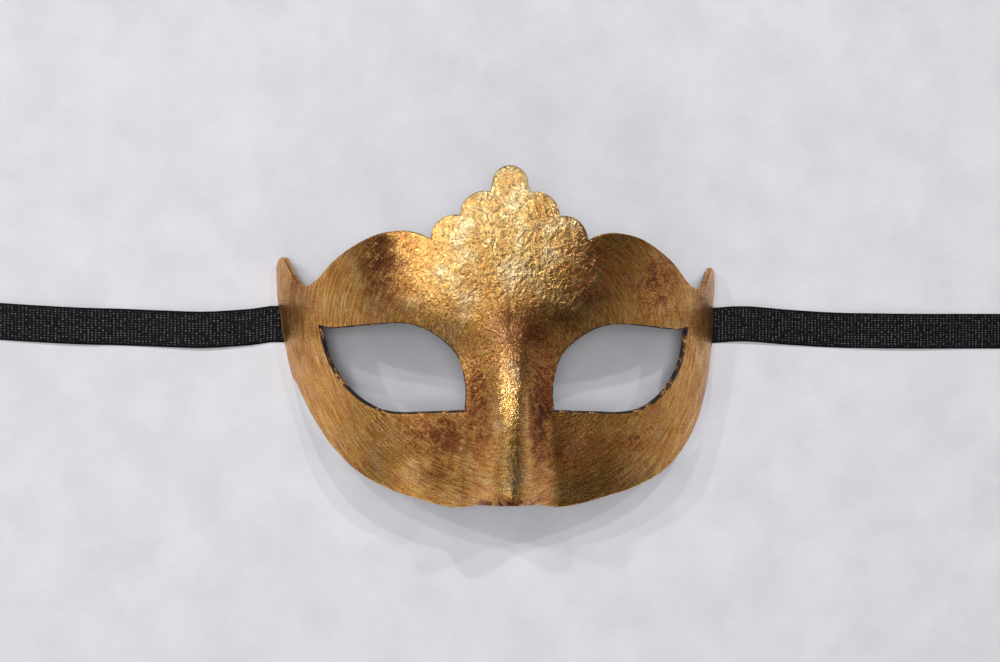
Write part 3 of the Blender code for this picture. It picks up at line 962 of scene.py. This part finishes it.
@dataclass(frozen=True)
class TablePaper:
    """Pale matt paper that the mask lies on."""

    light: str = "dddce1"
    shade: str = "d3d2d8"
    mottle_width: float = 25 * MM

    def build(self) -> bpy.types.Material:
        """Nearly even pale grey with the faint mottling of paper.

        Returns:
            The finish.
        """
        recipe = Recipe("pale_matt_paper")
        mottle = recipe.lumps(recipe.place(), 1 / self.mottle_width, 8.0, 0.6)
        recipe.set(Roughness=0.85)
        recipe.feed(Base_Color=recipe.ramp(mottle, (0.35, self.shade), (0.65, self.light)))
        return recipe.material


# ---------------------------------------------------------------------------
# Pieces
# ---------------------------------------------------------------------------


@dataclass
class MaskShell:
    """The moulded and gilded shell."""

    face: Face
    pattern: Pattern
    thickness: float = 2.4 * MM
    rim: float = 0.55 * MM
    cell: float = 1.5 * MM
    relief_slack: float = 1.0 * MM
    relief_height: float = 1.1 * MM
    hand_lumps: float = 0.26 * MM
    lump_width: float = 12 * MM
    foil_folds: float = 0.12 * MM
    fold_width: float = 4.5 * MM
    rim_reach: float = 1.2 * MM
    sweep_level: float = -2 * MM
    sweep_squash: float = 1.25
    sweep_radius: float = 70 * MM
    crown_half_width: float = 34 * MM
    foil_level: float = 16 * MM
    foil_slope: float = 0.25
    foil_blur: float = 6 * MM
    least_foil: float = 0.15
    nose_foil: float = 0.5
    nose_foil_width: float = 9 * MM
    aged_level: float = 8 * MM
    aged_slope: float = 0.3
    aged_blur: float = 7 * MM
    aged_shift: float = 8 * MM
    nose_clean: float = 0.8
    nose_clean_width: float = 7 * MM
    worn_base: float = 0.045
    aged_base: float = 0.13
    aged_by_wear: float = 2.2
    worn_spots: tuple = (
        # u, v, spread u, spread v, strength: where the leaf is rubbed through
        (-14, -24, 6, 20, 0.14), (14, -24, 6, 22, 0.22), (-30, -38, 18, 8, 0.14),
        (26, -46, 20, 10, 0.12), (0, -65, 14, 2, 0.25), (34, 26, 14, 12, 0.10),
        (62, 22, 14, 12, 0.14), (4, 0, 14, 14, 0.13), (-48, 22, 7, 14, 0.10),
        (-98, 8, 14, 16, 0.06), (98, 8, 14, 16, 0.06), (50, -40, 24, 12, 0.08),
    )
    toned_spots: tuple = (
        # u, v, spread u, spread v, strength: where the leaf is darkened, by some dark wax and
        # mostly by painted dark reflections on the brow, the forehead and the ears
        (-52, 29, 10, 17, 1.0), (-62, 22, 14, 12, 0.3), (34, 30, 9, 11, 0.75),
        (31, 17, 10, 9, 0.8), (21, 8, 11, 6, 0.8), (8, 2, 9, 8, 1.0), (1, 7, 9, 6, 0.75),
        (6, -9, 4, 9, 0.8), (-5, 2, 5, 8, 0.35), (-28, -39, 12, 8, 0.8),
        (-32, -55, 11, 9, 0.65), (13, -28, 5, 14, 0.5), (-13, -28, 4, 13, 0.4),
        (22, -42, 8, 8, 0.5), (40, 38, 10, 6, 0.45), (70, 30, 12, 8, 0.2),
        (98, -18, 8, 18, 0.15), (-95, 14, 9, 16, 0.45), (95, 14, 9, 16, 0.4),
        (36, -58, 12, 6, 0.3),
    )

    def build(self) -> bpy.types.Object:
        """Model, wrap and dress the shell.

        Returns:
            The shell.
        """
        holes = [self.pattern.eye_hole(side) for side in Side]
        sheet = Sheet(self.pattern.outline(), holes, 0.0, -self.thickness, self.rim, self.cell)
        shape = sheet.build()
        self.mark(shape, holes)
        self.bend(shape)
        self.trim(shape)
        inside = BlackCloth("black_paint_inside", weave=False).build()
        materials = (GoldLeaf().build(), CutEdge().build(), inside)
        shell = mesh_object("mask_shell_gilded", shape, materials)
        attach(shell, BODY)
        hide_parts("mask_shell")
        return shell

    def mark(self, shape: bmesh.types.BMesh, holes: list[list[Vector]]) -> None:
        """Store the flat pattern as UV maps, and where the foil, wear and rims lie.

        Args:
            shape: The flat shell.
            holes: Outlines of the eye holes.
        """
        rims = [p for loop in [self.pattern.outline()] + holes for p in loop]
        tree = kdtree.KDTree(len(rims))
        for index, point in enumerate(rims):
            tree.insert((point.x, point.y, 0), index)
        tree.balance()
        layers = {name: shape.verts.layers.float.new(name) for name in LEAF_ATTRIBUTES}
        for vert in shape.verts:
            u, v, _ = vert.co
            distance = tree.find((u, v, 0))[2]
            vert[layers["foil"]] = self.foil_at(u, v)
            worn = self.spotted(self.worn_spots, u, v) + self.worn_base
            vert[layers["worn"]] = worn
            # Painted dark reflections and some dark wax: how far the leaf is darkened here
            vert[layers["toned"]] = self.spotted(self.toned_spots, u, v)
            vert[layers["aged"]] = self.aged_at(u, v, worn)
            vert[layers["rim"]] = math.exp(-distance / self.rim_reach)
        flat = shape.loops.layers.uv.new("pattern")
        sweep = shape.loops.layers.uv.new("sweep")
        for face in shape.faces:
            for loop in face.loops:
                u, v, _ = loop.vert.co
                loop[flat].uv = (u / UV_UNIT + 0.5, v / UV_UNIT + 0.5)
                above = v - self.sweep_level
                reach = math.hypot(u, self.sweep_squash * above)
                turn = math.atan2(u, -above)
                loop[sweep].uv = (reach / UV_UNIT, turn * self.sweep_radius / UV_UNIT)

    def foil_at(self, u: float, v: float) -> float:
        """How crinkled the leaf is: fully on the crown and forehead, hardly on the cheeks.

        Args:
            u: Across the pattern.
            v: Up the pattern.

        Returns:
            A share from 0 to 1.
        """
        above = v - self.foil_level + self.foil_slope * abs(u)
        crown = 1 / (1 + math.exp(-above / self.foil_blur))
        middle = math.exp(-(u / self.crown_half_width) ** 4)
        nose = self.nose_foil * math.exp(-(u / self.nose_foil_width) ** 2)
        return max(self.least_foil, crown * middle, nose)

    def aged_at(self, u: float, v: float, worn: float) -> float:
        """How brown the glaze over the leaf is: little on the crown and the nose, more elsewhere.

        Args:
            u: Across the pattern.
            v: Up the pattern.
            worn: How far the leaf is rubbed through.

        Returns:
            A share from 0 to 1.
        """
        above = v - self.aged_level - self.aged_slope * u
        crown = 1 / (1 + math.exp(-above / self.aged_blur))
        middle = math.exp(-((u + self.aged_shift) / self.crown_half_width) ** 4)
        nose = self.nose_clean * math.exp(-(u / self.nose_clean_width) ** 2)
        clean = max(crown * middle, nose)
        return min(self.aged_base * (1 - clean) + self.aged_by_wear * worn, 1.0)

    @staticmethod
    def spotted(spots: Sequence[tuple], u: float, v: float) -> float:
        """How strongly the nearest of some soft round spots shows at a place.

        Args:
            spots: Place, spread and strength of each spot, lengths in millimetres.
            u: Across the pattern.
            v: Up the pattern.

        Returns:
            The strength of the strongest spot there.
        """
        strongest = 0.0
        for at_u, at_v, spread_u, spread_v, strength in spots:
            reach = ((u / MM - at_u) / spread_u) ** 2 + ((v / MM - at_v) / spread_v) ** 2
            strongest = max(strongest, strength * math.exp(-reach))
        return strongest

    def bend(self, shape: bmesh.types.BMesh) -> None:
        """Wrap the flat shell onto the face, with the unevenness of hand work.

        Args:
            shape: The flat shell.
        """
        foil = shape.verts.layers.float["foil"]
        flat = np.array([vert.co for vert in shape.verts])
        for row, vert in zip(flat, shape.verts):
            place = Vector((row[0], row[1], 0))
            outer = min(max((row[2] + self.rim * 1.5) / self.rim, 0.0), 1.0)
            lumps = self.hand_lumps * fractal(place, self.lump_width, 2)
            elsewhere = place + Vector((1, 2, 3))
            folds = self.foil_folds * vert[foil] * fractal(elsewhere, self.fold_width, 3)
            row[2] += outer * (lumps + folds)
        self.face.bend(shape, flat)

    def trim(self, shape: bmesh.types.BMesh) -> None:
        """Cut the ears flat on the surface and relieve them where the ribbons pass.

        Args:
            shape: The wrapped shell.
        """
        for foot in cut_level(shape, 0.0):
            foot.material_index = Zone.CUT_EDGE.value
        middle = RibbonTie.level
        reach = RibbonTie.width / 2 + self.relief_slack
        for vert in shape.verts:
            if abs(vert.co.y - middle) < reach and vert.co.z < self.relief_height:
                vert.co.z = self.relief_height
        bmesh.ops.recalc_face_normals(shape, faces=shape.faces)


@dataclass
class Lining:
    """The black cloth on the inside of the shell."""

    face: Face
    pattern: Pattern
    inset: float = 1.6 * MM
    depth: float = 2.8 * MM
    thickness: float = 0.5 * MM
    ear_inset: float = 4.0 * MM
    cell: float = 2.5 * MM

    def build(self) -> bpy.types.Object:
        """Model, wrap and dress the lining.

        Returns:
            The lining.
        """
        outline = inset(self.pattern.outline(), self.inset)
        holes = [inset(self.pattern.eye_hole(side), -self.inset) for side in Side]
        sheet = Sheet(outline, holes, -self.depth, -self.depth - self.thickness,
                      self.thickness / 3, self.cell, 1)
        shape = sheet.build()
        for face in shape.faces:
            face.material_index = 0
        self.face.bend(shape)
        cut_level(shape, self.ear_inset)
        bmesh.ops.recalc_face_normals(shape, faces=shape.faces)
        lining = mesh_object("lining_cloth", shape, (BlackCloth().build(),))
        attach(lining, BODY)
        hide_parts("inner_lining")
        return lining


@dataclass
class RibbonTie:
    """A ribbon tie: glued inside the ear, laid on the table and rolled up at its free end."""

    face: Face
    side: Side
    route: tuple
    width: float = 15 * MM
    thickness: float = 0.5 * MM
    length: float = 450 * MM
    level: float = 4.9 * MM
    tail_length: float = 18 * MM
    tail_rise: float = 8 * MM
    depth: float = 4.55 * MM
    lie: float = 0.4 * MM
    core: float = 2.5 * MM
    row_step: float = 1.4 * MM
    columns: int = 12
    tail_rows: int = 12
    turn_steps: int = 40
    step_down: tuple = (
        # out from the last glued row, height over the table
        (0.4 * MM, 1.9 * MM), (1.4 * MM, 0.9 * MM), (3.0 * MM, 0.4 * MM),
    )

    def middle_line(self) -> list[list[Vector]]:
        """Rows of the ribbon's middle surface, as pairs of edge points.

        Returns:
            The rows, from the glued end outwards.
        """
        half = self.width / 2
        rows = []
        foot = self.face.ear_u - self.tail_rise
        for u in np.linspace(foot - self.tail_length, foot, self.tail_rows):
            flat = [(self.side.value * u, self.level + across, -self.depth)
                    for across in (-half, half)]
            rows.append([Vector(point) for point in self.face.wrap(np.array(flat))])
        start = abs((rows[-1][0].x + rows[-1][1].x) / 2)
        for x, z in self.step_down:
            rows.append(self.row(start + x, 0.0, z))
        for point in Pattern(self.face.ear_u).run(self.route) + [Vector(self.route[-1]) * MM]:
            rows.append(self.row(self.face.ear_x + point.x, point.y, max(point.z, self.lie)))
        return rows

    def row(self, x: float, y: float, z: float) -> list[Vector]:
        """The two edge points of the ribbon at a distance out from the mask's middle.

        Args:
            x: The distance out.
            y: How far up the table the ribbon has strayed.
            z: Height over the table.

        Returns:
            The lower and the upper edge point.
        """
        middle = self.level + y
        return [Vector((self.side.value * x, middle + across, z))
                for across in (-self.width / 2, self.width / 2)]

    def rolled(self, rows: list[list[Vector]]) -> list[list[Vector]]:
        """Rows of the rolled end, inwards from its outermost turn.

        Args:
            rows: The rows that lead up to it.

        Returns:
            The roll's rows.
        """
        low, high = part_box(f"{self.side.hand}_ribbon_roll")
        centre = Vector(((low[0] + high[0]) / 2, 0, (low[2] + high[2]) / 2))
        radius = (high[2] - low[2]) / 2 - self.thickness / 2
        left = self.length - path_length(rows) - abs(centre.x - rows[-1][0].x)
        turns = left / (math.pi * (radius + self.core))
        steps = int(turns * self.turn_steps)
        y = rows[-1][0].y
        result = []
        for step in range(steps + 1):
            turn = turns * math.tau * step / steps
            reach = radius + (self.core - radius) * step / steps
            x = centre.x + self.side.value * reach * math.sin(turn)
            z = centre.z - reach * math.cos(turn)
            result.append([Vector((x, y, z)), Vector((x, y + self.width, z))])
        return result

    def build(self, material: bpy.types.Material) -> bpy.types.Object:
        """Model and dress the tie.

        Args:
            material: The woven finish.

        Returns:
            The tie.
        """
        rows = self.middle_line()
        rows += self.rolled(rows)
        middle = np.array([(a + b) / 2 for a, b in rows])
        runs = np.concatenate([[0], np.cumsum(np.linalg.norm(np.diff(middle, axis=0), axis=1))])
        count = int(runs[-1] / self.row_step)
        shape = bmesh.new()
        uv = shape.loops.layers.uv.new("weave")
        bmesh.ops.create_grid(shape, x_segments=count, y_segments=self.columns, size=0.5)
        edges = [np.array([row[k] for row in rows]) for k in (0, 1)]
        for face in shape.faces:
            for loop in face.loops:
                x, y, _ = loop.vert.co
                loop[uv].uv = ((x + 0.5) * runs[-1] / UV_UNIT, (y + 0.5) * self.width / UV_UNIT)
        for vert in shape.verts:
            along = (vert.co.x + 0.5) * runs[-1]
            share = vert.co.y + 0.5
            near, far = [np.array([np.interp(along, runs, edge[:, k]) for k in range(3)])
                         for edge in edges]
            vert.co = Vector(near * (1 - share) + far * share)
        bmesh.ops.recalc_face_normals(shape, faces=shape.faces)
        tie = mesh_object(f"{self.side.hand}_ribbon_tie", shape, (material,))
        wall = tie.modifiers.new("thickness", "SOLIDIFY")
        wall.thickness = self.thickness
        wall.offset = 0.0
        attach(tie, BODY)
        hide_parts(f"{self.side.hand}_ribbon", f"{self.side.hand}_ribbon_roll")
        return tie


def path_length(rows: list[list[Vector]]) -> float:
    """Length of a strip along its middle."""
    middle = [(a + b) / 2 for a, b in rows]
    return sum((b - a).length for a, b in zip(middle, middle[1:]))


@dataclass
class Fixing:
    """What holds a ribbon in its ear: a pad of glue and a cloth patch over it."""

    face: Face
    side: Side
    level: float = 4.9 * MM
    rise: float = 10 * MM
    # length, width, depth under the face, thickness
    glue_size: tuple = (11 * MM, 10 * MM, 3.6 * MM, 0.4 * MM)
    patch_size: tuple = (14 * MM, 24 * MM, 5.1 * MM, 0.6 * MM)
    cell: float = 1.5 * MM
    rim_points: int = 48
    raggedness: float = 0.03
    squareness: float = 0.35

    def build(self) -> list[bpy.types.Object]:
        """Model and dress the glue pad and the patch.

        Returns:
            Both pieces.
        """
        glue = self.pad("glue_pad", *self.glue_size, HotGlue().build())
        felt = BlackCloth("black_felt", thread=0.7 * MM, weave=False).build()
        patch = self.pad("patch", *self.patch_size, felt)
        for piece, slot in ((glue, "glue"), (patch, "patch")):
            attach(piece, BODY)
            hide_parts(piece.name.replace("_soft", ""))
        return [glue, patch]

    def pad(self, name: str, length: float, width: float, depth: float, thickness: float,
            material: bpy.types.Material) -> bpy.types.Object:
        """A thin pad with rounded corners on the inside of the ear.

        Args:
            name: The piece's name, without its side.
            length: Size along u.
            width: Size along v.
            depth: Depth of its outer side under the face.
            thickness: Its thickness.
            material: Its finish.

        Returns:
            The pad.
        """
        foot = self.face.ear_u - self.rise
        middle = Vector((self.side.value * (foot - length / 2), self.level))
        outline = []
        for step in range(self.rim_points):
            angle = math.tau * step / self.rim_points
            around = math.cos(angle), math.sin(angle)
            ragged = 1 + self.raggedness * noise.noise(Vector((*around, depth / MM)))
            squared = [math.copysign(abs(f) ** self.squareness, f) for f in around]
            outline.append(middle + Vector((squared[0] * length, squared[1] * width)) / 2 * ragged)
        sheet = Sheet(outline, [], -depth, -depth - thickness, thickness / 2.2, self.cell, 2)
        shape = sheet.build()
        for face in shape.faces:
            face.material_index = 0
        self.face.bend(shape)
        bmesh.ops.recalc_face_normals(shape, faces=shape.faces)
        return mesh_object(f"{self.side.hand}_{name}_soft", shape, (material,))


# ---------------------------------------------------------------------------
# Camera, table and light
# ---------------------------------------------------------------------------


@dataclass
class Studio:
    """Pale table, camera nearly overhead and soft lamps."""

    height: float = 0.62
    lean: float = -0.058
    aim: tuple = (0.0008, 0.0024, 0.0)
    roll: float = -0.004
    view_width: float = 0.417
    sensor: float = 36.0
    floor_size: float = 2.6
    backdrop: str = "d6d6dc"

    def build(self) -> None:
        """Set the camera, the table and the lights."""
        self.camera()
        self.table()
        self.world()
        for lamp in (
            # name, direction towards it, distance, size, watts
            ("spot_far_left", (-1.0, 0.58, 1.0), 2.0, (0.06, 0.06), 5.4),
            ("spot_left", (-0.50, 0.62, 1.0), 2.0, (0.06, 0.06), 4.6),
            ("spot_middle", (0.20, 0.66, 1.0), 2.0, (0.06, 0.06), 5.6),
            ("spot_right", (0.60, 0.62, 1.0), 2.0, (0.06, 0.06), 4.6),
            ("panel_overhead", (-0.22, 0.12, 1.0), 2.2, (1.35, 1.7), 13.2),
            ("panel_left", (-3.0, -0.4, 1.0), 2.4, (1.8, 1.8), 6.6),
            ("panel_right", (3.0, -0.6, 1.0), 2.4, (1.8, 1.8), 4.4),
            ("panel_front", (-0.6, -1.6, 1.0), 2.2, (1.6, 1.6), 7.5),
            ("fill_overhead", (-0.09, 0.0, 1.0), 2.2, (0.6, 0.6), 12.6),
            ("fill_front", (0.2, -2.2, 1.0), 2.2, (1.5, 1.5), 6.0),
        ):
            self.lamp(*lamp)
        bpy.context.scene.view_settings.view_transform = "Standard"

    def camera(self) -> None:
        """Nearly overhead, a little to the left."""
        data = bpy.data.cameras.new("camera")
        data.sensor_width = self.sensor
        data.lens = self.sensor * self.height / self.view_width
        data.clip_end = 20
        camera = bpy.data.objects.new("camera", data)
        place = Vector((self.lean, self.aim[1], self.height))
        forward = (Vector(self.aim) - place).normalized()
        right = forward.cross(Vector((math.sin(self.roll), math.cos(self.roll), 0))).normalized()
        upward = right.cross(forward)
        turn = Matrix((right, upward, -forward)).transposed()
        camera.matrix_world = Matrix.Translation(place) @ turn.to_4x4()
        bpy.context.collection.objects.link(camera)
        bpy.context.scene.camera = camera

    def table(self) -> None:
        """A plain pale surface."""
        shape = bmesh.new()
        bmesh.ops.create_grid(shape, x_segments=1, y_segments=1, size=self.floor_size / 2)
        floor = mesh_object("table", shape, (TablePaper().build(),))

    def world(self) -> None:
        """A pale backdrop that gives no light of its own."""
        world = bpy.data.worlds.new("room")
        world.use_nodes = True
        shade = world.node_tree.nodes["Background"]
        shade.inputs["Color"].default_value = tone(self.backdrop)
        shade.inputs["Strength"].default_value = 1.0
        bpy.context.scene.world = world
        world.cycles_visibility.diffuse = False
        world.cycles_visibility.glossy = False

    @staticmethod
    def lamp(name: str, towards: tuple, distance: float, size: tuple, watts: float) -> None:
        """A rectangular lamp that looks at the mask. Fills only light matt surfaces.

        Args:
            name: Its name.
            towards: Direction from the mask to the lamp.
            distance: How far away it is.
            size: Its width and height.
            watts: Its power.
        """
        data = bpy.data.lights.new(name, "AREA")
        data.shape = "RECTANGLE"
        data.size, data.size_y = size
        data.energy = watts
        lamp = bpy.data.objects.new(name, data)
        lamp.visible_glossy = not name.startswith("fill")
        back = Vector(towards).normalized()
        right = Vector((0, 1, 0)).cross(back).normalized()
        turn = Matrix((right, back.cross(right), back)).transposed()
        lamp.matrix_world = Matrix.Translation(back * distance) @ turn.to_4x4()
        bpy.context.collection.objects.link(lamp)


# Middle of each ribbon in millimetres: out from its ear, up the table, above the table
ROUTES = {
    Side.LEFT: ((1.8, 0.0, 0.4), (11.8, -1.4, 0.9), (28.8, -2.5, 1.6), (45.8, -2.1, 0.7),
                (62.8, -1.5, 0.4), (79.8, -1.1, 1.2), (97.8, -0.2, 0.9), (115.8, 0.8, 0.4),
                (133.8, 1.0, 0.3)),
    Side.RIGHT: ((1.8, 0.4, 0.4), (8.8, 0.9, 1.2), (16.8, 0.8, 1.6), (31.8, -0.4, 0.8),
                 (51.8, -1.5, 0.4), (69.8, -1.8, 1.1), (87.8, -1.9, 1.3), (107.8, -1.8, 0.6),
                 (133.8, -1.7, 0.3)),
}


def main() -> None:
    """Build the mask around the frame."""
    logging.basicConfig(level=logging.INFO, format="%(name)s: %(message)s")
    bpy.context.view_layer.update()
    Studio().build()
    face = Face()
    pattern = Pattern(face.ear_u)
    pieces = [MaskShell(face, pattern).build(), Lining(face, pattern).build()]
    weave = RibbonWeave().build()
    for side in Side:
        pieces.append(RibbonTie(face, side, ROUTES[side]).build(weave))
        pieces += Fixing(face, side).build()
    for piece in pieces:
        log.info("%s: %d faces", piece.name, len(piece.data.polygons))


if __name__ == "__main__":
    main()
